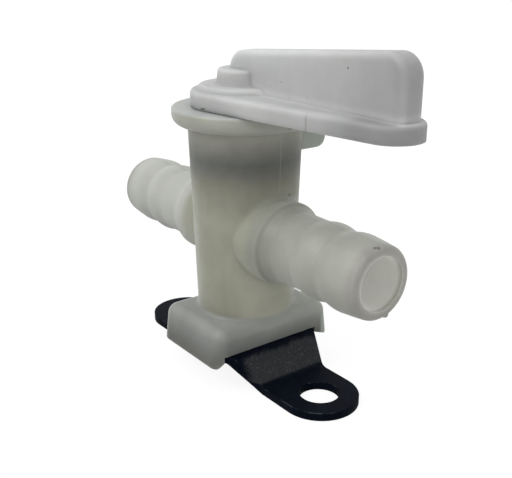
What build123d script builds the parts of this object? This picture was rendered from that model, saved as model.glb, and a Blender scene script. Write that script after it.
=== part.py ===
import os
from build123d import *

os.makedirs("parts", exist_ok=True)

# Bracket strap, z = 0 is its mounting face
strap_t = 1.5
hole_x = 21.7
hole_r = 3.55
tab_r = 7.0
strap_half_w = 10.2
strap_top_z = 6.6
strap_flat_x = 9.0
slope_run = 4.7
bend_r = 0.9
shoulder_low_x = 13.2
shoulder_high_x = 15.4
shoulder_r = 2.5
flare_low_x = 8.2
flare_high_x = 9.3

# Base of the body
base_half_x = 9.3
base_half_y = 13.5
base_draft = 0.9
base_wall = 1.9
base_top_z = 11.4
base_corner_r = 2.2
base_edge_r = 2.1
skirt_round = 0.4
skirt_drop = 2.4
skirt_tip = 0.5
strap_side_gap = 0.4
strap_roof_gap = 0.1
lip_grip = 0.8
lip_gap = 0.1
lip_edge = 0.2
lip_half_x = 5.0
lead_in = 1.3

# Barrel and collar
barrel_r_low = 9.1
barrel_r_high = 10.3
collar_r = 13.1
collar_top_z = 49.3
collar_rim_h = 2.7
collar_cone_h = 0.7
collar_edge_r = 0.4
collar_low_r = 1.9
waist_r = 0.5
barrel_foot_r = 0.8

# Hose barbs, along X
barb_z = 26.7
port_r = 4.55
barb_tip_x = 35.2
root_r = 7.5
root_x = 12.4
root_bulge = 0.18
neck_r = 6.4
neck_x = 15.5
ridge_in_x = 20.5
ridge_in_bulge = 0.46
valley_r = 6.28
valley_x = 26.0
ridge_out_x = 26.8
ridge_out_bulge = 0.3
nose_r = 6.52
nose_x = 31.6
tip_r = 6.1
crease_r = 0.4
tip_round = 0.9
joint_r = 1.2

# Stop lug on the body
lug_half_w = 2.5
lug_end_y = 17.3
lug_low_z = 39.9
lug_round = 2.0
lug_edge_r = 0.7
lug_top_above = 1.3
lug_in_y = 8.9

# Plug, running in the barrel
plug_r = 7.2
run_gap = 0.05
floor_z = 9.4
plug_end_gap = 0.1
head_r = 8.4
head_land = 0.45
head_top_below = 0.8
seat_gap = 0.15
core_r = 4.9
core_web = 2.4
bead_proud = 0.35
bead_h = 0.8
bead_z = 46.0
bead_gap = 0.3
stem_w = 5.6
stem_round = 0.6
stem_top_z = 54.6
neck_pin_r = 4.4

# Ring seal, drawn at its squeezed size
ring_z = 41.4
ring_half_h = 1.2
ring_room = 0.2
groove_depth = 2.0
ring_touch = 0.03

# Handle
plate_gap = 0.15
plate_t = 2.9
hub_r = 9.7
lever_x = 35.6
lever_end_r = 4.8
plate_edge_r = 0.8
pad_r = 7.9
pad_h = 0.8
pad_step = 0.1
pad_edge_r = 0.4
boss_r = 4.75
boss_draft = 0.35
boss_h = 3.5
boss_edge_r = 0.5
boss_foot_r = 0.5
grip_t = 4.2
grip_in_x = -2.1
grip_out_x = 39.3
grip_in_z = 58.8
grip_out_z = 62.2
grip_corner_r = 3.6
grip_edge_r = 0.8
socket_gap = 0.03
socket_top_gap = 0.2
recess_r = 8.2
shoulder_gap = 0.05
lug_room = 0.25
stop_gap = 0.1

# Sizes that follow from the ones above
strap_low_z = strap_top_z - strap_t
slope_end_x = strap_flat_x + slope_run
channel_low_y = base_wall - base_half_y
strap_low_y = channel_low_y + strap_side_gap
strap_high_y = strap_low_y + 2 * strap_half_w
channel_high_y = strap_high_y + strap_side_gap
base_top_y = base_half_y - base_draft
tip_y = base_half_y - skirt_tip
roof_z = strap_top_z + strap_roof_gap
skirt_z = roof_z - skirt_drop
lead_z = skirt_z + lead_in
lip_top_z = strap_low_z - lip_gap
lip_low_z = lip_top_z - lip_edge
collar_low_z = collar_top_z - collar_rim_h - collar_cone_h
bore_r = plug_r + run_gap
seat_r = head_r + run_gap
plug_low_z = floor_z + plug_end_gap
plug_top_z = collar_top_z - head_top_below
core_top_z = barb_z - port_r - core_web
groove_r = seat_r - groove_depth
bead_r = head_r + bead_proud
groove_low_z = ring_z - ring_half_h - ring_room
groove_top_z = ring_z + ring_half_h + ring_room
head_z = groove_low_z - head_land - seat_gap - (head_r - plug_r)
ring_in_r = groove_r + ring_touch
ring_out_r = seat_r - ring_touch
ring_mid_r = (ring_in_r + ring_out_r) / 2
ring_half_w = (ring_out_r - ring_in_r) / 2
lug_top_z = collar_top_z + lug_top_above
plate_z = collar_top_z + plate_gap
plate_top_z = plate_z + plate_t
pad_top_z = plate_top_z + pad_h
boss_top_z = plate_top_z + boss_h
boss_low_r = boss_r + boss_draft
pad_low_r = hub_r - plate_edge_r - pad_step
shoulder_z = plate_z - shoulder_gap
stop_x = lug_half_w + stop_gap
recess_h = lug_top_z + lug_room - plate_z
reach = barb_tip_x + collar_r

# Bracket: bent side profile cut to the plan outline
with BuildPart() as bracket:
    with BuildSketch(Plane.XZ):
        with BuildLine():
            FilletPolyline(
                (-reach, strap_t / 2),
                (-slope_end_x, strap_t / 2),
                (-strap_flat_x, strap_top_z - strap_t / 2),
                (strap_flat_x, strap_top_z - strap_t / 2),
                (slope_end_x, strap_t / 2),
                (reach, strap_t / 2),
                radius=bend_r + strap_t / 2,
            )
        trace(line_width=strap_t)
    extrude(amount=base_half_y, both=True)
    with BuildSketch():
        with BuildLine():
            Polyline(
                (-hole_x, -tab_r),
                (-shoulder_low_x, -tab_r),
                (-flare_low_x, strap_low_y),
                (flare_low_x, strap_low_y),
                (shoulder_low_x, -tab_r),
                (hole_x, -tab_r),
                (hole_x, tab_r),
                (shoulder_high_x, tab_r),
                (flare_high_x, strap_high_y),
                (-flare_high_x, strap_high_y),
                (-shoulder_high_x, tab_r),
                (-hole_x, tab_r),
                close=True,
            )
        make_face()
        for shoulder_x, side_y in [(shoulder_low_x, -tab_r), (shoulder_high_x, tab_r)]:
            shoulders = [vertices().sort_by_distance((x, side_y))[0] for x in (-shoulder_x, shoulder_x)]
            fillet(shoulders, radius=shoulder_r)
        with Locations((-hole_x, 0), (hole_x, 0)):
            Circle(tab_r)
            Circle(hole_r, mode=Mode.SUBTRACT)
    extrude(amount=strap_top_z + strap_t, mode=Mode.INTERSECT)
bracket.part.label = "bracket"
export_step(bracket.part, "parts/bracket.step")

# Body: base, barrel, collar, barbs and lug, then all the hollows
with BuildPart() as valve_body:
    with BuildSketch(Plane.YZ):
        with BuildLine():
            Polyline(
                (-base_half_y, skirt_z),
                (base_half_y, skirt_z),
                (base_top_y, base_top_z),
                (-base_top_y, base_top_z),
                close=True,
            )
        make_face()
    extrude(amount=base_half_x, both=True)
    leaning = valve_body.edges().filter_by(Axis.X, reverse=True).filter_by(Axis.Y, reverse=True)
    fillet(leaning, radius=base_corner_r)
    fillet(valve_body.faces().sort_by(Axis.Z)[-1].edges(), radius=base_edge_r)
    fillet(valve_body.faces().sort_by(Axis.Z)[0].edges(), radius=skirt_round)
    with BuildSketch(Plane.XZ):
        with BuildLine():
            Polyline(
                (0, roof_z),
                (barrel_r_low, roof_z),
                (barrel_r_low, base_top_z),
                (barrel_r_high, collar_low_z),
                (collar_r, collar_low_z + collar_cone_h),
                (collar_r, collar_top_z),
                (0, collar_top_z),
                close=True,
            )
        make_face()
        waist = vertices().group_by(Axis.Y)[2]
        rim_low = vertices().group_by(Axis.Y)[3]
        fillet(rim_low, radius=collar_low_r)
        fillet(waist, radius=waist_r)
        fillet(vertices().sort_by(Axis.Y)[-2:].sort_by(Axis.X)[-1], radius=collar_edge_r)
    revolve(axis=Axis.Z)
    base_lines = valve_body.edges().filter_by_position(Axis.Z, base_top_z, base_top_z)
    fillet(base_lines.filter_by(GeomType.CIRCLE), radius=barrel_foot_r)
    with BuildSketch(Plane.XZ):
        with BuildLine():
            root_line = Polyline(
                (0, barb_z),
                (0, barb_z + root_r),
                (root_x, barb_z + root_r),
            )
            root_end = SagittaArc(root_line @ 1, (neck_x, barb_z + neck_r), -root_bulge)
            neck_line = Line(root_end @ 1, (ridge_in_x, barb_z + neck_r))
            ridge_in = SagittaArc(neck_line @ 1, (valley_x, barb_z + valley_r), -ridge_in_bulge)
            valley_line = Line(ridge_in @ 1, (ridge_out_x, barb_z + valley_r))
            ridge_out = SagittaArc(valley_line @ 1, (nose_x, barb_z + nose_r), -ridge_out_bulge)
            Polyline(ridge_out @ 1, (barb_tip_x, barb_z + tip_r), (barb_tip_x, barb_z), (0, barb_z))
        make_face()
        creases = [root_end @ 1, neck_line @ 1, valley_line @ 0, valley_line @ 1]
        fillet([vertices().sort_by_distance(crease)[0] for crease in creases], radius=crease_r)
    revolve(axis=Axis((0, 0, barb_z), (1, 0, 0)))
    joint_lines = valve_body.edges(Select.LAST).filter_by(GeomType.BSPLINE).sort_by(Axis.X)[:2]
    fillet(joint_lines, radius=joint_r)
    fillet(valve_body.faces().sort_by(Axis.X)[-1].edges(), radius=tip_round)
    mirror(about=Plane.YZ)
    with BuildSketch(Plane.XY.offset(lug_low_z)):
        with Locations((0, (lug_in_y + lug_end_y) / 2)):
            Rectangle(2 * lug_half_w, lug_end_y - lug_in_y)
    extrude(amount=lug_top_z - lug_low_z)
    lug_end = valve_body.faces().sort_by(Axis.Y)[-1]
    fillet(lug_end.edges().sort_by(Axis.Z)[0], radius=lug_round)
    lug_end = valve_body.faces().sort_by(Axis.Y)[-1]
    fillet(lug_end.edges().filter_by(Axis.Z), radius=lug_edge_r)
    with BuildSketch(Plane.XZ):
        with BuildLine():
            Polyline(
                (0, floor_z),
                (bore_r, floor_z),
                (bore_r, head_z),
                (seat_r, head_z + seat_r - bore_r),
                (seat_r, bead_z - bead_gap),
                (bead_r + bead_gap, bead_z - bead_gap),
                (bead_r + bead_gap, bead_z + bead_h + bead_gap),
                (seat_r, bead_z + bead_h + bead_gap),
                (seat_r, collar_top_z),
                (0, collar_top_z),
                close=True,
            )
        make_face()
    revolve(axis=Axis.Z, mode=Mode.SUBTRACT)
    with BuildSketch(Plane.YZ):
        with Locations((0, barb_z)):
            Circle(port_r)
    extrude(amount=reach, both=True, mode=Mode.SUBTRACT)
    with BuildSketch(Plane.YZ):
        with BuildLine():
            Polyline(
                (-tip_y, skirt_z),
                (channel_low_y, lead_z),
                (channel_low_y, roof_z),
                (channel_high_y, roof_z),
                (channel_high_y, lead_z),
                (tip_y, skirt_z),
                close=True,
            )
        make_face()
    extrude(amount=base_half_x, both=True, mode=Mode.SUBTRACT)
    with BuildSketch(Plane.YZ):
        with BuildLine():
            Polyline(
                (-tip_y, skirt_z),
                (channel_low_y + lip_grip, lip_low_z),
                (channel_low_y + lip_grip, lip_top_z),
                (-tip_y, lip_top_z),
                close=True,
            )
        make_face()
        with BuildLine():
            Polyline(
                (tip_y, skirt_z),
                (channel_high_y - lip_grip, lip_low_z),
                (channel_high_y - lip_grip, lip_top_z),
                (tip_y, lip_top_z),
                close=True,
            )
        make_face()
    extrude(amount=lip_half_x, both=True)
valve_body.part.label = "valve_body"
export_step(valve_body.part, "parts/valve_body.step")

# Plug with cross bore, ring groove, snap bead and square stem
with BuildPart() as plug:
    with BuildSketch(Plane.XZ):
        with BuildLine():
            Polyline(
                (0, core_top_z),
                (core_r, core_top_z),
                (core_r, plug_low_z),
                (plug_r, plug_low_z),
                (plug_r, head_z + seat_gap),
                (head_r, head_z + seat_gap + head_r - plug_r),
                (head_r, groove_low_z),
                (groove_r, groove_low_z),
                (groove_r, groove_top_z),
                (head_r, groove_top_z),
                (head_r, bead_z),
                (bead_r, bead_z + bead_h),
                (head_r, bead_z + bead_h),
                (head_r, plug_top_z),
                (neck_pin_r, plug_top_z),
                (neck_pin_r, shoulder_z),
                (0, shoulder_z),
                close=True,
            )
        make_face()
    revolve(axis=Axis.Z)
    with BuildSketch(Plane.XY.offset(shoulder_z)):
        RectangleRounded(stem_w, stem_w, stem_round)
    extrude(amount=stem_top_z - shoulder_z)
    with BuildSketch(Plane.YZ):
        with Locations((0, barb_z)):
            Circle(port_r)
    extrude(amount=head_r, both=True, mode=Mode.SUBTRACT)
plug.part.label = "plug"
export_step(plug.part, "parts/plug.step")

# Ring seal in the plug head
with BuildPart() as o_ring:
    with BuildSketch(Plane.XZ):
        with Locations((ring_mid_r, ring_z)):
            Ellipse(ring_half_w, ring_half_h)
    revolve(axis=Axis.Z)
o_ring.part.label = "o_ring"
export_step(o_ring.part, "parts/o_ring.step")

# Handle: grip wall, hub and lever plate, hub pad and boss, then socket and stop recess
with BuildPart() as handle:
    with BuildSketch(Plane.XZ):
        with BuildLine():
            Polyline(
                (grip_in_x, plate_z),
                (grip_out_x, plate_z),
                (grip_out_x, grip_out_z),
                (grip_in_x, grip_in_z),
                close=True,
            )
        make_face()
        fillet(vertices().sort_by(Axis.Y)[2:], radius=grip_corner_r)
    extrude(amount=grip_t / 2, both=True)
    grip_sides = handle.faces().filter_by(Plane.XZ)
    fillet(grip_sides.edges().sort_by(Axis.Z)[2:], radius=grip_edge_r)
    with BuildSketch(Plane.XY.offset(plate_z)):
        Circle(hub_r)
        with Locations((lever_x, 0)):
            Circle(lever_end_r)
        make_hull()
    extrude(amount=plate_t)
    plate_tops = handle.faces().filter_by_position(Axis.Z, plate_top_z, plate_top_z)
    fillet(plate_tops[0].outer_wire().edges(), radius=plate_edge_r)
    with BuildSketch(Plane.XZ):
        with BuildLine():
            Polyline(
                (0, plate_z),
                (pad_low_r, plate_z),
                (pad_low_r, plate_top_z),
                (pad_r, pad_top_z),
                (boss_low_r, pad_top_z),
                (boss_r, boss_top_z),
                (0, boss_top_z),
                close=True,
            )
        make_face()
        fillet(vertices().sort_by_distance((boss_r, boss_top_z))[0], radius=boss_edge_r)
        fillet(vertices().sort_by_distance((boss_low_r, pad_top_z))[0], radius=boss_foot_r)
        fillet(vertices().sort_by_distance((pad_r, pad_top_z))[0], radius=pad_edge_r)
    revolve(axis=Axis.Z)
    with BuildSketch(Plane.XY.offset(plate_z)):
        RectangleRounded(stem_w + 2 * socket_gap, stem_w + 2 * socket_gap, stem_round)
    extrude(amount=stem_top_z + socket_top_gap - plate_z, mode=Mode.SUBTRACT)
    with BuildSketch(Plane.XY.offset(plate_z)):
        with Locations((stop_x - collar_r / 2, collar_r / 2 - stop_x)):
            Rectangle(collar_r, collar_r)
        Circle(recess_r, mode=Mode.SUBTRACT)
    extrude(amount=recess_h, mode=Mode.SUBTRACT)
handle.part.label = "handle"
export_step(handle.part, "parts/handle.step")
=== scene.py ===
import math
import bmesh
import bpy
from mathutils import Matrix, Vector


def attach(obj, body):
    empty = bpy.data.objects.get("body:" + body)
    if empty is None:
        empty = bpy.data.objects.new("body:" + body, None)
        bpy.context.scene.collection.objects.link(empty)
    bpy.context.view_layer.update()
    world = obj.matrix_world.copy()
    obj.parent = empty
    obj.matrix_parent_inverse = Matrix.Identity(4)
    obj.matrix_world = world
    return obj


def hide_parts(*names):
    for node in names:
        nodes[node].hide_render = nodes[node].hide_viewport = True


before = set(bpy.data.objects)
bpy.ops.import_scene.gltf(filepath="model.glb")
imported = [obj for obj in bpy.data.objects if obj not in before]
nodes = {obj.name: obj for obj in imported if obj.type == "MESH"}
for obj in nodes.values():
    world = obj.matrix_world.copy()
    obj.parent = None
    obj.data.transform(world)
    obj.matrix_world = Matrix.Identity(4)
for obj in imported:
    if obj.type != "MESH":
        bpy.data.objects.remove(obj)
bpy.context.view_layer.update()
scene = bpy.context.scene
scene.view_settings.view_transform = "Standard"
mm = 0.001
black = (0, 0, 0, 1)
spotCore = 0.6  # share of a spot that has its full tone
print("stage: frame loaded", sorted(nodes))


def tone(r, g, b, gain=1.0):  # screen colour 0-255 to a linear colour
    def lin(v):
        v = v / 255
        return gain * (v / 12.92 if v <= 0.04045 else ((v + 0.055) / 1.055) ** 2.4)
    return (lin(r), lin(g), lin(b), 1.0)


class Graph:  # short ways to add and join nodes
    def __init__(self, tree):
        self.tree = tree

    def add(self, kind, **values):
        node = self.tree.nodes.new(kind)
        for key, value in values.items():
            setattr(node, key, value)
        return node

    def put(self, socket, value):
        if isinstance(value, bpy.types.NodeSocket):
            self.tree.links.new(value, socket)
        else:
            socket.default_value = value

    def calc(self, operation, a, b=0.0, c=0.0):
        node = self.add("ShaderNodeMath", operation=operation)
        for socket, value in zip(node.inputs, (a, b, c)):
            self.put(socket, value)
        return node.outputs[0]

    def times(self, first, *others):
        for other in others:
            first = self.calc("MULTIPLY", first, other)
        return first

    def gap(self, value, centre):  # distance to either side of centre
        return self.calc("ABSOLUTE", self.calc("SUBTRACT", value, centre))

    def span(self, value, low, high, smooth=True):  # 0 below low, 1 above high
        node = self.add("ShaderNodeMapRange", interpolation_type="SMOOTHSTEP" if smooth else "LINEAR")
        self.put(node.inputs["Value"], value)
        node.inputs["From Min"].default_value = low
        node.inputs["From Max"].default_value = high
        return node.outputs["Result"]

    def zone(self, value, ends):  # a span with its ends in mm
        return self.span(value, ends[0] * mm, ends[1] * mm)

    def fit(self, value, ends):  # 0 to 1 becomes ends
        node = self.add("ShaderNodeMapRange")
        self.put(node.inputs["Value"], value)
        node.inputs["To Min"].default_value = ends[0]
        node.inputs["To Max"].default_value = ends[1]
        return node.outputs["Result"]

    def split(self, vector):
        node = self.add("ShaderNodeSeparateXYZ")
        self.put(node.inputs[0], vector)
        return node.outputs

    def blend(self, factor, a, b, mode="MIX"):
        node = self.add("ShaderNodeMix", data_type="RGBA", blend_type=mode)
        self.put(node.inputs[0], factor)
        self.put(node.inputs[6], a)
        self.put(node.inputs[7], b)
        return node.outputs[2]

    def ladder(self, value, steps, gain=1.0):  # colour by place, steps of (mm, screen colour)
        low, high = steps[0][0], steps[-1][0]
        node = self.add("ShaderNodeValToRGB")
        band = node.color_ramp
        band.interpolation = "LINEAR"
        while len(band.elements) < len(steps):
            band.elements.new(0.5)
        for element, (place, shade) in zip(band.elements, steps):
            element.position = (place - low) / (high - low)
            element.color = tone(*shade, gain=gain)
        self.put(node.inputs[0], self.span(value, low * mm, high * mm, smooth=False))
        return node.outputs["Color"]

    def noise(self, vector, scale, detail=3.0, rough=0.5):
        node = self.add("ShaderNodeTexNoise")
        self.put(node.inputs["Vector"], vector)
        node.inputs["Scale"].default_value = scale
        node.inputs["Detail"].default_value = detail
        node.inputs["Roughness"].default_value = rough
        return node.outputs[0]

    def spot(self, coords, place, radius):  # 1 inside a small ball at place, in mm
        node = self.add("ShaderNodeVectorMath", operation="DISTANCE")
        self.put(node.inputs[0], coords)
        node.inputs[1].default_value = [v * mm for v in place]
        return self.zone(node.outputs["Value"], (radius, radius * spotCore))

    def bump(self, height, strength, depth, normal=None):
        node = self.add("ShaderNodeBump")
        node.inputs["Strength"].default_value = strength
        node.inputs["Distance"].default_value = depth
        self.put(node.inputs["Height"], height)
        if normal:
            self.put(node.inputs["Normal"], normal)
        return node.outputs[0]

    def effect(self, tree, coords, **values):  # one of the shared groups, with its own values
        node = self.add("ShaderNodeGroup", node_tree=tree)
        self.put(node.inputs["Vector"], coords)
        for key, value in values.items():
            node.inputs[key].default_value = value
        return node.outputs


def newGroup(name, inputs, outputs):
    tree = bpy.data.node_groups.new(name, "ShaderNodeTree")
    tree.interface.new_socket("Vector", in_out="INPUT", socket_type="NodeSocketVector")
    for label, value in inputs.items():
        socket = tree.interface.new_socket(label, in_out="INPUT", socket_type="NodeSocketFloat")
        socket.default_value = value
    for label in outputs:
        tree.interface.new_socket(label, in_out="OUTPUT", socket_type="NodeSocketFloat")
    graph = Graph(tree)
    return tree, graph, graph.add("NodeGroupInput").outputs, graph.add("NodeGroupOutput").inputs


def newMaterial(name):
    material = bpy.data.materials.new(name)
    material.use_nodes = True
    graph = Graph(material.node_tree)
    shader = material.node_tree.nodes["Principled BSDF"].inputs
    coords = graph.add("ShaderNodeTexCoord").outputs["Object"]
    return material, graph, shader, coords


def setFinish(shader, finish):
    for label, value in finish.items():
        shader[label].default_value = value


def wear(obj, material):
    obj.data.materials.clear()
    obj.data.materials.append(material)


# moulded skin: fine texture, slow waviness and a faint cloudiness
skinLook = {  # scale, detail and roughness of each noise
    "fine": (5200.0, 2.0),
    "slow": (170.0, 2.0),
    "cloud": (110.0, 4.0, 0.6),
    "gloss": (420.0, 3.0),
    "reach": (0.3, 0.7),
}


def mouldedSkin():
    tree, g, given, made = newGroup("mouldedSkin", {"Grain": 1.0, "Wave": 1.0}, ["Height", "Cloud", "Gloss"])
    noises = ("fine", "slow", "cloud", "gloss")
    fine, slow, cloud, gloss = (g.noise(given["Vector"], *skinLook[key]) for key in noises)
    g.put(made["Height"], g.calc("ADD", g.times(fine, given["Grain"]), g.times(slow, given["Wave"])))
    g.put(made["Cloud"], g.span(cloud, *skinLook["reach"]))
    g.put(made["Gloss"], g.span(gloss, *skinLook["reach"]))
    return tree


speckLook = {"rare": 0.86}  # share of the cells with no speck


def strayFlecks():  # tiny dark specks caught in the plastic
    tree, g, given, made = newGroup("strayFlecks", {"Scale": 160.0, "Size": 0.06}, ["Mask"])
    cells = g.add("ShaderNodeTexVoronoi", feature="F1")
    g.put(cells.inputs["Vector"], given["Vector"])
    g.put(cells.inputs["Scale"], given["Scale"])
    pick = g.add("ShaderNodeSeparateColor")
    g.put(pick.inputs[0], cells.outputs["Color"])
    near = g.calc("LESS_THAN", cells.outputs["Distance"], g.times(given["Size"], pick.outputs[1]))
    rare = g.calc("GREATER_THAN", pick.outputs[0], speckLook["rare"])
    g.put(made["Mask"], g.times(near, rare))
    return tree


skinTree = mouldedSkin()
speckTree = strayFlecks()
print("stage: shared effects made")

# valve body
bodyLook = {
    "barrel": [  # height in mm and the colour there; the dark band at 36 to 43 mm is the ring seal seen through the wall with painted shade under the collar
        (11.4, (120, 120, 109)),
        (14.4, (127, 127, 115)),
        (20.0, (131, 132, 119)),
        (30.0, (130, 131, 118)),
        (34.4, (121, 121, 109)),
        (36.2, (115, 115, 103)),
        (38.0, (103, 103, 95)),
        (39.5, (91, 92, 87)),
        (40.7, (86, 88, 83)),
        (42.0, (99, 100, 95)),
        (43.3, (113, 113, 107)),
        (45.0, (132, 132, 123)),
        (46.0, (140, 140, 131)),
    ],
    "gain": 1.5,
    "barb": tone(167, 168, 159),
    "barbRoot": tone(150, 151, 141),
    # painted light: the back barb is lighter than the front one, on the side the key light falls on
    "backBarbLit": tone(179, 181, 175),
    "rim": tone(151, 150, 145),
    "bore": tone(160, 159, 153),
    "boreGlow": (0.2, 0.198, 0.186, 1.0),
    "mouthTint": 0.5,
    "mouthGlow": 0.14,
    "collar": tone(166, 167, 158),
    # painted shade: the collar's top is darker than its side
    "collarTopShade": tone(157, 160, 158),
    "base": tone(166, 169, 163),
    # painted shade: the base's front side is darker, and darker still low down by the strap
    "baseFrontShade": tone(142, 145, 141),
    "baseLowShade": tone(100, 101, 97),
    "lowSide": tone(158, 159, 145, gain=1.5),
    "wallLight": 0.7,
    "lug": tone(160, 166, 158),
    "mark": tone(112, 104, 96),
    "creaseShade": tone(84, 85, 80),
    "creaseShadeTint": 0.16,
    "seamHighlightTint": 0.13,
    "cloudTint": 0.12,
    # painted light at the outline and along the mould line
    "paintedLightTone": tone(226, 228, 224),
    "edgeFacing": (0.45, 1.0),
    "edgeGlow": (0.31, 0.22),  # below the collar, and on it
    "backGlow": 0.35,
    "bandHeight": 40.7 * mm,
    "barbHeight": 26.7 * mm,
    "rootEdge": 13.0 * mm,
    "rough": (0.30, 0.42),
    "barbRough": 0.16,
    "barbSheen": 0.12,
    "bump": (0.35, 0.12 * mm),
    "skin": {"Grain": 0.25, "Wave": 0.9},
    "finish": {
        "Emission Strength": 1.0,
        "Coat Roughness": 0.1,
        "IOR": 1.49,
        "Specular IOR Level": 0.35,
        "Subsurface Weight": 0.8,
        "Subsurface Radius": (1.0, 0.97, 0.85),
        "Subsurface Scale": 3.0 * mm,
    },
    "marks": [
        ((34.6, -1.3, 33.0), 0.5), ((34.95, -0.8, 32.9), 0.5),  # scuff at the front barb's mouth
        ((12.94, -0.32, 34.19), 0.14), ((9.61, 2.41, 34.52), 0.36),  # specks at its root
        ((0.06, -9.85, 38.4), 0.16), ((8.0, -5.75, 30.4), 0.18),  # specks on the barrel
        ((13.0, -0.17, 47.25), 0.34), ((12.99, -0.59, 46.88), 0.36),  # end of the mould line on the collar
        ((12.96, -0.99, 46.59), 0.3),
    ],
    "zones": {  # where each tone fades in, from and to, in mm
        "wallSide": (4.5, 9.2),
        "wallDrop": (23.0, 16.0),
        "barbStart": (8.6, 11.4),
        "barbRound": (10.4, 8.6),
        "rootFade": (12.0, 20.0),
        "rimFade": (32.6, 35.0),
        "boreRound": (4.62, 4.56),
        "boreStart": (4.0, 8.0),
        "boreEnd": (35.1, 34.0),
        "mouthStart": (34.0, 35.0),
        "mouthRound": (5.9, 4.6),
        "collarFoot": (45.7, 46.5),
        "collarEdge": (48.9, 49.25),
        "baseDepth": (-13.0, 2.0),
        "baseRise": (4.4, 11.6),
        "baseEdge": (12.3, 11.5),
        "lugSide": (10.6, 11.6),
        "creaseWidth": (0.5, 0.1),
        "creaseRound": (9.5, 8.5),
        "seamWidth": (0.14, 0.03),
        "seamSide": (5.0, 6.0),
        "seamRise": (34.0, 37.0),
        "bandReach": (1.0, 8.0),
        "glowCollar": (45.5, 46.5),
    },
    "ridges": {
        "runs": [  # start and end (along the barb, out from its axis) and the crest between, in mm
            ((16.0, 6.4), (20.4, 6.32), 0.0),
            ((20.4, 6.32), (26.15, 6.22), 0.47),
            ((26.15, 6.22), (26.75, 6.24), 0.0),
            ((26.75, 6.24), (31.7, 6.5), 0.28),
        ],
        "softness": 1.5,
        "skin": (5.3, 7.2),  # outer skin of the barb, mm from its axis
    },
}


def bodyPlastic():
    material, g, shader, coords = newMaterial("naturalPlastic")
    look = bodyLook
    x, y, z = g.split(coords)
    out = g.calc("ABSOLUTE", x)
    rise = g.calc("SUBTRACT", z, look["barbHeight"])
    around = g.calc("SQRT", g.calc("ADD", g.times(y, y), g.times(rise, rise)))  # from the barbs' axis

    def zone(value, name):
        return g.zone(value, look["zones"][name])

    skin = g.effect(skinTree, coords, **look["skin"])
    colour = g.ladder(z, look["barrel"], look["gain"])
    wallLight = g.times(zone(x, "wallSide"), zone(z, "wallDrop"), look["wallLight"])
    colour = g.blend(wallLight, colour, look["lowSide"])  # light passed on through the wall
    onBarb = g.times(zone(out, "barbStart"), zone(around, "barbRound"))
    onFront = g.calc("GREATER_THAN", x, 0.0)
    onBack = g.times(onBarb, g.calc("SUBTRACT", 1.0, onFront))
    frontBarb = g.blend(zone(out, "rootFade"), look["barbRoot"], look["barb"])
    # painted light: the back barb gets a lighter copy of the barb's colour
    colour = g.blend(onBarb, colour, g.blend(onFront, look["backBarbLit"], frontBarb))
    colour = g.blend(zone(out, "rimFade"), colour, look["rim"])
    inBore = g.times(zone(around, "boreRound"), zone(out, "boreStart"))
    mouth = g.times(zone(out, "mouthStart"), zone(around, "mouthRound"))
    colour = g.blend(g.times(mouth, look["mouthTint"]), colour, look["bore"])
    colour = g.blend(inBore, colour, look["bore"])
    colour = g.blend(zone(z, "collarFoot"), colour, look["collar"])
    # painted shade on the collar's top
    colour = g.blend(zone(z, "collarEdge"), colour, look["collarTopShade"])
    # painted shade on the base: darker on its front side and towards its foot by the strap
    baseTop = g.blend(zone(y, "baseDepth"), look["baseFrontShade"], look["base"])
    baseColour = g.blend(zone(z, "baseRise"), look["baseLowShade"], baseTop)
    colour = g.blend(zone(z, "baseEdge"), colour, baseColour)
    colour = g.blend(zone(y, "lugSide"), colour, look["lug"])
    # painted shade in the crease at the barb's root
    atRoot = zone(g.gap(out, look["rootEdge"]), "creaseWidth")
    shadedCrease = g.times(atRoot, zone(around, "creaseRound"), look["creaseShadeTint"])
    colour = g.blend(shadedCrease, colour, look["creaseShade"])
    seamHighlight = g.times(zone(g.calc("ABSOLUTE", y), "seamWidth"), zone(x, "seamSide"), zone(z, "seamRise"))
    colour = g.blend(g.times(seamHighlight, look["seamHighlightTint"]), colour, look["paintedLightTone"])  # mould line up the barrel, drawn as a painted highlight
    colour = g.blend(look["cloudTint"], colour, skin["Cloud"], "SOFT_LIGHT")
    for place, radius in look["marks"]:
        colour = g.blend(g.spot(coords, place, radius), colour, look["mark"])

    # painted light: the surface turns lighter towards the outline, less on the back barb, more below the
    # collar than on it, and fading out at the dark band
    edgeOn = g.add("ShaderNodeLayerWeight")
    below, onCollar = look["edgeGlow"]
    glow = g.calc("MULTIPLY_ADD", zone(z, "glowCollar"), onCollar - below, below)
    glow = g.times(glow, g.calc("MULTIPLY_ADD", onBack, look["backGlow"] - 1.0, 1.0))
    glow = g.times(glow, zone(g.gap(z, look["bandHeight"]), "bandReach"))
    glow = g.times(glow, g.span(edgeOn.outputs["Facing"], *look["edgeFacing"]))
    g.put(shader["Base Color"], g.blend(glow, colour, look["paintedLightTone"]))

    inside = g.times(inBore, zone(out, "boreEnd"))
    lit = g.calc("MAXIMUM", inside, g.times(mouth, look["mouthGlow"]))
    g.put(shader["Emission Color"], g.blend(lit, black, look["boreGlow"]))  # light through the barb's wall
    rough = g.fit(skin["Gloss"], look["rough"])
    g.put(shader["Roughness"], g.calc("MULTIPLY_ADD", onBarb, look["barbRough"], rough))
    g.put(shader["Normal"], g.bump(skin["Height"], *look["bump"]))
    g.put(shader["Coat Weight"], g.times(onBarb, onFront, look["barbSheen"]))
    setFinish(shader, look["finish"])
    return material


def ridgeRadius(along, radius):  # in mm
    look = bodyLook["ridges"]
    low, high = look["skin"]
    if low < radius < high:
        for (startX, startR), (endX, endR), crest in look["runs"]:
            t = (along - startX) / (endX - startX)
            if 0.0 < t < 1.0:
                return startR + (endR - startR) * t + crest * math.sin(math.pi * t) ** look["softness"]
    return radius


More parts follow.
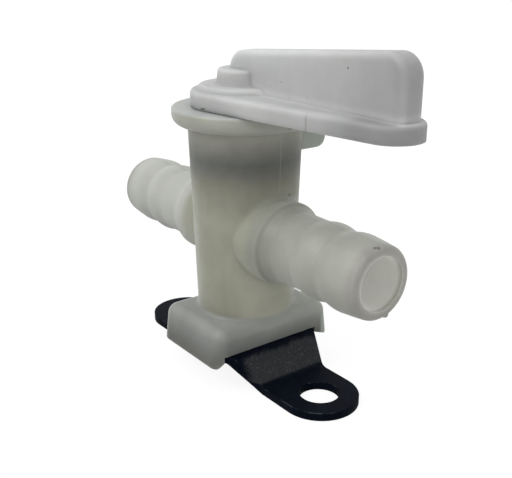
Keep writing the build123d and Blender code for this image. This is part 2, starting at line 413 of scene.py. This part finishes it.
def raisedBody(node):  # the solid's barbs are hollow where the real ones have soft raised ridges
    mesh = node.data.copy()
    mesh.name = "bodyMoulding"
    for vertex in mesh.vertices:
        x, y, z = vertex.co
        rise = z - bodyLook["barbHeight"]
        radius = math.hypot(y, rise)
        scale = ridgeRadius(abs(x) / mm, radius / mm) * mm / radius if radius else 1.0
        vertex.co = (x, y * scale, bodyLook["barbHeight"] + rise * scale)
    mesh.update()
    piece = bpy.data.objects.new("bodyMoulding", mesh)
    scene.collection.objects.link(piece)
    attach(piece, "housing")
    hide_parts("valve_body")
    return piece


body = raisedBody(nodes["valve_body"])
wear(body, bodyPlastic())
print("stage: valve body dressed")

# parting line of the two mould halves
seamLook = {
    "radius": 0.03 * mm,
    "shortest": 0.08 * mm,  # closer points are left out
    "touch": 0.001 * mm,
    "clearOfBore": 5.0 * mm,
    "barrel": 10.6 * mm,
    "end": 34.4 * mm,
    "low": 12.0 * mm,
    "high": 49.25 * mm,
}


def onSeam(point):
    look = seamLook
    inBore = abs(point.z - bodyLook["barbHeight"]) < look["clearOfBore"]
    onBarb = look["barrel"] <= abs(point.x) <= look["end"]
    return onBarb and not inBore and look["low"] < point.z < look["high"]


def joinTwo(one, two):  # one run from two that share an end, or nothing
    def meet(a, b):
        return (a - b).length < seamLook["touch"]

    if meet(one[-1], two[0]):
        return one + two[1:]
    if meet(one[-1], two[-1]):
        return one + two[::-1][1:]
    if meet(one[0], two[-1]):
        return two + one[1:]
    if meet(one[0], two[0]):
        return two[::-1] + one[1:]
    return None


def joinRuns(runs):  # the cut edges, end to end
    i = 0
    while i < len(runs):
        for j in range(i + 1, len(runs)):
            longer = joinTwo(runs[i], runs[j])
            if longer:
                runs[i] = longer
                del runs[j]
                break
        else:
            i += 1
    return runs


def thinned(run):
    kept = [run[0]]
    for point in run[1:]:
        if (point - kept[-1]).length > seamLook["shortest"]:
            kept.append(point)
    return kept


def partingLine():
    cut = bmesh.new()
    cut.from_mesh(body.data)
    made = bmesh.ops.bisect_plane(
        cut, geom=cut.verts[:] + cut.edges[:] + cut.faces[:], plane_co=(0, 0, 0), plane_no=(0, 1, 0),
        clear_inner=True, clear_outer=True,
    )
    edges = [e for e in made["geom_cut"] if isinstance(e, bmesh.types.BMEdge)]
    pairs = [[v.co.copy() for v in edge.verts] for edge in edges]
    cut.free()
    runs = joinRuns([[a, b] for a, b in pairs if onSeam((a + b) / 2)])
    curve = bpy.data.curves.new("partingLine", "CURVE")
    curve.dimensions = "3D"
    for run in map(thinned, runs):
        if len(run) < 2:
            continue
        spline = curve.splines.new("POLY")
        spline.points.add(len(run) - 1)
        for point, co in zip(spline.points, run):
            point.co = (co.x, co.y, co.z, 1.0)
    curve.bevel_depth = seamLook["radius"]
    curve.bevel_resolution = 1
    curve.use_fill_caps = True
    line = bpy.data.objects.new("partingLine", curve)
    scene.collection.objects.link(line)
    line.data.materials.append(body.data.materials[0])
    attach(line, "housing")
    print("stage: parting line", len(runs), "runs")


partingLine()

# stub left by the moulding gate on the front barb's mouth
gateLook = {
    "place": (34.5, 1.75, 20.95),  # mm
    "radius": 0.62,
    "height": 0.42,
    "flat": 0.8,
    "foot": 1.15,
    "taper": 0.6,
    "ragged": (0.12, 0.06),
    "tilt": 0.1,
    "sides": 24,
    "rings": 8,
}


def gateStub():
    look = gateLook
    centre = Vector(look["place"]) * mm
    outward = Vector((0, centre.y, centre.z - bodyLook["barbHeight"])).normalized()
    across = Vector((1, 0, 0))
    along = outward.cross(across)
    coarse, fine = look["ragged"]
    stub = bmesh.new()
    rows = []
    for i in range(look["rings"]):
        t = i / (look["rings"] - 1)
        row = []
        for j in range(look["sides"]):
            turn = 2 * math.pi * j / look["sides"]
            ragged = 1 + coarse * math.sin(3 * turn + 1) + fine * math.sin(5 * turn)
            wide = look["radius"] * mm * ragged * (look["foot"] - look["taper"] * t ** 3)
            rise = look["height"] * mm * (t + look["tilt"] * t * math.sin(2 * turn))
            sideways = across * wide * math.cos(turn) * look["flat"] + along * wide * math.sin(turn)
            row.append(stub.verts.new(centre + sideways + outward * rise))
        rows.append(row)
    for low, high in zip(rows, rows[1:]):
        for j in range(look["sides"]):
            k = (j + 1) % look["sides"]
            stub.faces.new((low[j], low[k], high[k], high[j]))
    stub.faces.new(rows[-1])
    stub.faces.new(rows[0][::-1])
    for face in stub.faces:
        face.smooth = True
    mesh = bpy.data.meshes.new("gateStub")
    bmesh.ops.recalc_face_normals(stub, faces=stub.faces)
    stub.to_mesh(mesh)
    stub.free()
    piece = bpy.data.objects.new("gateStub", mesh)
    scene.collection.objects.link(piece)
    mesh.materials.append(body.data.materials[0])
    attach(piece, "housing")
    print("stage: gate stub made")


gateStub()

# handle
handleLook = {
    "along": [  # place along the lever in mm and the colour there; the lever turns darker towards its outer end and darkest on the grip's end edge, painted shade
        (-10.0, (178, 179, 178)),
        (4.0, (181, 182, 181)),
        (10.0, (188, 189, 188)),
        (28.0, (182, 182, 182)),
        (35.6, (175, 175, 176)),
        (37.4, (168, 168, 169)),
        (38.9, (163, 163, 164)),
        (40.4, (173, 173, 174)),
    ],
    # painted shade: the plate's sides towards the end and its top beside the grip are darker
    "plateEndShade": tone(151, 151, 152),
    "plateTopShade": tone(170, 171, 171),
    "plateTopEndShade": tone(124, 124, 125),
    "plateShadeTint": 0.7,
    # painted light at the grip's root and a painted highlight along its top edge
    "gripFootLight": tone(214, 214, 213),
    "footLightTint": 0.4,
    "crest": tone(214, 216, 218),
    "crestHighlightTint": 0.6,
    "topSlope": 0.082,
    "topHeight": 59.0 * mm,  # of the grip's sloping top, over the turning axis
    "cloudTint": 0.1,
    "scar": tone(160, 159, 158),
    "scarPlace": 24.0 * mm,
    "fleck": tone(100, 98, 94),
    "softEdge": 1.3 * mm,
    "edgeSamples": 8,
    "rough": (0.4, 0.55),
    "bump": (0.3, 0.1 * mm),
    "skin": {"Grain": 0.35, "Wave": 0.6},
    "flecks": {"Scale": 240.0, "Size": 0.045},
    "finish": {
        "Specular IOR Level": 0.2,
        "Subsurface Weight": 0.85,
        "Subsurface Radius": (1.0, 1.0, 0.95),
        "Subsurface Scale": 3.2 * mm,
    },
    "marks": [
        ((28.07, -2.1, 58.89), 0.2), ((12.62, -2.1, 55.02), 0.14), ((9.76, -2.1, 54.02), 0.1),  # grip
        ((14.71, -2.1, 52.76), 0.1), ((19.12, -2.1, 53.36), 0.1),
        ((4.14, -2.01, 54.08), 0.2), ((3.98, -2.32, 53.83), 0.16),  # boss
        ((0.5, -9.69, 49.72), 0.2), ((0.9, -9.65, 49.76), 0.22),  # nick at the hub
        ((1.3, -9.6, 49.82), 0.24),
    ],
    "zones": {  # where each tone fades in, from and to, in mm
        "endStart": (22.0, 34.0),
        "plateSide": (53.2, 52.2),
        "topFrom": (52.0, 52.3),
        "topTo": (52.9, 52.5),
        "topBeside": (2.6, 4.2),
        "topEnd": (28.0, 36.0),
        "footTo": (54.0, 52.4),
        "footFrom": (51.9, 52.3),
        "footBeside": (3.2, 2.2),
        "crestDepth": (4.5, 0.0),
        "crestAlong": (30.0, -4.0),
        "scarWidth": (0.32, 0.02),
        "scarRise": (52.4, 51.4),
        "scarSide": (-5.0, -5.6),
    },
}


def handlePlastic():
    material, g, shader, coords = newMaterial("handlePlastic")
    look = handleLook
    x, y, z = g.split(coords)
    beside = g.calc("ABSOLUTE", y)

    def zone(value, name):
        return g.zone(value, look["zones"][name])

    skin = g.effect(skinTree, coords, **look["skin"])
    flecks = g.effect(speckTree, coords, **look["flecks"])
    colour = g.ladder(x, look["along"])
    # painted shade on the plate's sides towards its outer end
    colour = g.blend(g.times(zone(x, "endStart"), zone(z, "plateSide")), colour, look["plateEndShade"])
    # painted shade: the plate's top beside the grip is darker, most towards the outer end
    onPlate = g.times(zone(z, "topFrom"), zone(z, "topTo"), zone(beside, "topBeside"), look["plateShadeTint"])
    colour = g.blend(onPlate, colour, g.blend(zone(x, "topEnd"), look["plateTopShade"], look["plateTopEndShade"]))
    foot = g.times(zone(z, "footTo"), zone(beside, "footBeside"), zone(z, "footFrom"), look["footLightTint"])
    colour = g.blend(foot, colour, look["gripFootLight"])  # painted light at the grip's root, lifting the shade where the grip meets the plate
    # painted highlight along the top edge of the grip, fading towards its outer end
    depth = g.calc("SUBTRACT", g.calc("MULTIPLY_ADD", x, look["topSlope"], look["topHeight"]), z)
    crest = g.times(zone(depth, "crestDepth"), zone(x, "crestAlong"), look["crestHighlightTint"])
    colour = g.blend(crest, colour, look["crest"])
    colour = g.blend(look["cloudTint"], colour, skin["Cloud"], "SOFT_LIGHT")
    scar = g.times(zone(g.gap(x, look["scarPlace"]), "scarWidth"), zone(z, "scarRise"), zone(y, "scarSide"))
    colour = g.blend(scar, colour, look["scar"])
    colour = g.blend(flecks["Mask"], colour, look["fleck"])
    for place, radius in look["marks"]:
        colour = g.blend(g.spot(coords, place, radius), colour, look["fleck"])
    g.put(shader["Base Color"], colour)
    g.put(shader["Roughness"], g.fit(skin["Gloss"], look["rough"]))
    soft = g.add("ShaderNodeBevel", samples=look["edgeSamples"])  # softly moulded edges and roots
    soft.inputs["Radius"].default_value = look["softEdge"]
    g.put(shader["Normal"], g.bump(skin["Height"], *look["bump"], soft.outputs[0]))
    setFinish(shader, look["finish"])
    return material


wear(nodes["handle"], handlePlastic())
print("stage: handle dressed")

# plug and ring seal
plugLook = {
    "plastic": tone(190, 190, 180),
    "cloudTint": 0.1,
    "rough": (0.28, 0.4),
    "bump": (0.2, 0.1 * mm),
}
ringLook = {
    "rubber": tone(22, 22, 23),
    "dust": tone(44, 44, 45),
    "dustNoise": (900.0, 4.0),
    "dustReach": (0.5, 0.8),
    "rough": (0.3, 0.5),  # share of the dust, and the least
}


def plugPlastic():
    material, g, shader, coords = newMaterial("plugPlastic")
    skin = g.effect(skinTree, coords)
    colour = g.blend(plugLook["cloudTint"], plugLook["plastic"], skin["Cloud"], "SOFT_LIGHT")
    g.put(shader["Base Color"], colour)
    g.put(shader["Roughness"], g.fit(skin["Gloss"], plugLook["rough"]))
    g.put(shader["Normal"], g.bump(skin["Height"], *plugLook["bump"]))
    return material


def ringRubber():
    material, g, shader, coords = newMaterial("ringRubber")
    dust = g.noise(coords, *ringLook["dustNoise"])
    dusty = g.span(dust, *ringLook["dustReach"])
    g.put(shader["Base Color"], g.blend(dusty, ringLook["rubber"], ringLook["dust"]))
    g.put(shader["Roughness"], g.calc("MULTIPLY_ADD", dust, *ringLook["rough"]))
    return material


wear(nodes["plug"], plugPlastic())
wear(nodes["o_ring"], ringRubber())
print("stage: inner pieces dressed")

# bracket
strapLook = {
    "paint": tone(6, 10, 19),
    "paintLight": tone(12, 17, 28),
    # painted reflection: the sloped face is a lighter grey, speckled by the paint's grit
    "slopeReflection": tone(49, 50, 52),
    "gritAndReflection": tone(76, 76, 77),
    # lighter paint on the bevelled edges: wear in patches and a painted highlight
    "edgeWearAndHighlight": tone(84, 88, 94),
    "blotch": (260.0, 5.0, 0.65),  # noise scale, detail and roughness
    "grit": (2600.0, 4.0, 0.7),
    "ragged": (420.0, 5.0, 0.75),
    "raggedBy": 2.0 * mm,
    "paintReach": (0.35, 0.7),
    "gritReach": (0.5, 0.68),
    "gritPatch": (0.3, 0.6),
    "wearAndHighlightReach": (0.46, 0.6),
    "slopeFoot": (1.6, 2.1),  # the dull slope's edges, in mm
    "slopeTop": (6.1, 5.3),
    "slopeLeft": (-8.9, -7.3),
    "slopeRight": (9.2, 7.8),
    "rough": (0.25, 0.3),  # share of the grit, and the least
    "bump": (0.5, 0.06 * mm),
    "blotchHeight": 0.6,
    "finish": {"Specular IOR Level": 0.045, "Specular Tint": (0.55, 0.7, 1.0, 1.0)},
    "edge": 0.22 * mm,
    "edgeAngle": 40,
    "edgeSteps": 3,
    "weld": 0.001 * mm,
}


def strapPaint(name, edgeWearAndHighlight):
    material, g, shader, coords = newMaterial(name)
    look = strapLook
    _, y, z = g.split(coords)
    blotch = g.noise(coords, *look["blotch"])
    grit = g.noise(coords, *look["grit"])
    ragged = g.times(g.calc("SUBTRACT", g.noise(coords, *look["ragged"]), 0.5), look["raggedBy"])
    colour = g.blend(g.span(blotch, *look["paintReach"]), look["paint"], look["paintLight"])
    # painted reflection on the sloped face, speckled by the paint's grit
    upDown = g.times(g.zone(z, look["slopeFoot"]), g.zone(g.calc("ADD", z, ragged), look["slopeTop"]))
    beside = g.calc("ADD", y, ragged)
    onSlope = g.times(upDown, g.zone(beside, look["slopeLeft"]), g.zone(beside, look["slopeRight"]))
    gritty = g.times(g.span(grit, *look["gritReach"]), g.span(blotch, *look["gritPatch"]))
    colour = g.blend(onSlope, colour, g.blend(gritty, look["slopeReflection"], look["gritAndReflection"]))
    # lighter paint on the bevelled edges: wear in patches and a painted highlight
    if edgeWearAndHighlight:
        colour = g.blend(g.span(blotch, *look["wearAndHighlightReach"]), colour, look["edgeWearAndHighlight"])
    g.put(shader["Base Color"], colour)
    g.put(shader["Roughness"], g.calc("MULTIPLY_ADD", grit, *look["rough"]))
    height = g.calc("MULTIPLY_ADD", blotch, look["blotchHeight"], grit)
    g.put(shader["Normal"], g.bump(height, *look["bump"]))
    setFinish(shader, look["finish"])
    return material


def softEdges(obj):  # worn edges of the painted strap; their lighter paint is partly wear and partly a painted highlight
    weld = obj.modifiers.new("closedSkin", "WELD")
    weld.merge_threshold = strapLook["weld"]
    bevel = obj.modifiers.new("wornAndHighlightedEdges", "BEVEL")
    bevel.width = strapLook["edge"]
    bevel.segments = strapLook["edgeSteps"]
    bevel.limit_method = "ANGLE"
    bevel.angle_limit = math.radians(strapLook["edgeAngle"])
    bevel.harden_normals = True
    bevel.material = 1


strap = nodes["bracket"]
wear(strap, strapPaint("blackPaint", False))
strap.data.materials.append(strapPaint("wornAndHighlightedPaint", True))
softEdges(strap)
print("stage: bracket dressed")

# floor, light and camera
studioLook = {
    "floorHalf": 4,
    "floorDrop": 0.02 * mm,
    "floorTone": (0.55, 0.55, 0.55, 1),
    "floorGlow": 1.2,
    "floorSeen": 0.75,  # share of the glow that the camera sees
    "worldLight": 0.6,
    "lamps": [  # name, direction, spread in radians and power
        ("keyLamp", (-0.3, -0.9, 1.0), 0.6, 1.1),
        ("fillLamp", (0.75, -0.3, 0.3), 0.9, 0.5),
        ("topLamp", (0.05, 0.1, 1.0), 1.0, 0.4),
        ("glintLamp", (-0.52, -0.15, 0.86), 0.12, 0.16),
    ],
}


def addFloor():
    look = studioLook
    h = look["floorHalf"]
    mesh = bpy.data.meshes.new("floor")
    mesh.from_pydata([(-h, -h, 0), (h, -h, 0), (h, h, 0), (-h, h, 0)], [], [(0, 1, 2, 3)])
    floor = bpy.data.objects.new("floor", mesh)
    floor.location.z = -look["floorDrop"]
    scene.collection.objects.link(floor)
    material = bpy.data.materials.new("floorWhite")
    material.use_nodes = True
    g = Graph(material.node_tree)
    g.tree.nodes.clear()
    matt = g.add("ShaderNodeBsdfDiffuse")
    matt.inputs["Color"].default_value = look["floorTone"]
    glow = g.add("ShaderNodeEmission")
    glow.inputs["Strength"].default_value = look["floorGlow"]
    seen = g.add("ShaderNodeLightPath").outputs["Is Camera Ray"]
    above = g.add("ShaderNodeMixShader")
    g.put(above.inputs[0], g.times(seen, look["floorSeen"]))
    g.put(above.inputs[1], matt.outputs[0])
    g.put(above.inputs[2], glow.outputs[0])
    both = g.add("ShaderNodeMixShader")  # see-through from below
    g.put(both.inputs[0], g.add("ShaderNodeNewGeometry").outputs["Backfacing"])
    g.put(both.inputs[1], above.outputs[0])
    g.put(both.inputs[2], g.add("ShaderNodeBsdfTransparent").outputs[0])
    g.put(g.add("ShaderNodeOutputMaterial").inputs[0], both.outputs[0])
    mesh.materials.append(material)


def addWorld(level):  # white to the camera, dimmer as light
    world = bpy.data.worlds.new("studio")
    scene.world = world
    world.use_nodes = True
    g = Graph(world.node_tree)
    back = world.node_tree.nodes["Background"]
    back.inputs["Color"].default_value = (1, 1, 1, 1)
    seen = g.add("ShaderNodeLightPath").outputs["Is Camera Ray"]
    g.put(back.inputs["Strength"], g.calc("MULTIPLY_ADD", seen, 1.0 - level, level))


def addLamp(name, towards, spread, power):
    data = bpy.data.lights.new(name, "SUN")
    data.angle = spread
    data.energy = power
    lamp = bpy.data.objects.new(name, data)
    lamp.rotation_euler = Vector(towards).to_track_quat("Z", "Y").to_euler()
    scene.collection.objects.link(lamp)


shot = {
    "azimuth": 52.89,
    "elevation": 19.67,
    "distance": 150.1 * mm,
    "aimHeight": 24.08 * mm,
    "aside": 1.91 * mm,
    "focalPixels": 800,
    "widthPixels": 512,
    "sensor": 36,
    "nearest": 0.005,
}


def addCamera():
    turn = math.radians(shot["azimuth"])
    rise = math.radians(shot["elevation"])
    right = Vector((math.cos(turn), math.sin(turn), 0))
    back = Vector((math.sin(turn) * math.cos(rise), -math.cos(turn) * math.cos(rise), math.sin(rise)))
    up = back.cross(right)
    place = Vector((0, 0, shot["aimHeight"])) + right * shot["aside"] + back * shot["distance"]
    data = bpy.data.cameras.new("camera")
    data.sensor_fit = "HORIZONTAL"
    data.sensor_width = shot["sensor"]
    data.lens = shot["focalPixels"] / shot["widthPixels"] * shot["sensor"]
    data.clip_start = shot["nearest"]
    camera = bpy.data.objects.new("camera", data)
    camera.matrix_world = Matrix((
        (right.x, up.x, back.x, place.x),
        (right.y, up.y, back.y, place.y),
        (right.z, up.z, back.z, place.z),
        (0, 0, 0, 1),
    ))
    scene.collection.objects.link(camera)
    scene.camera = camera


addFloor()
addWorld(studioLook["worldLight"])
for lamp in studioLook["lamps"]:
    addLamp(*lamp)
addCamera()
print("stage: floor, light and camera set")
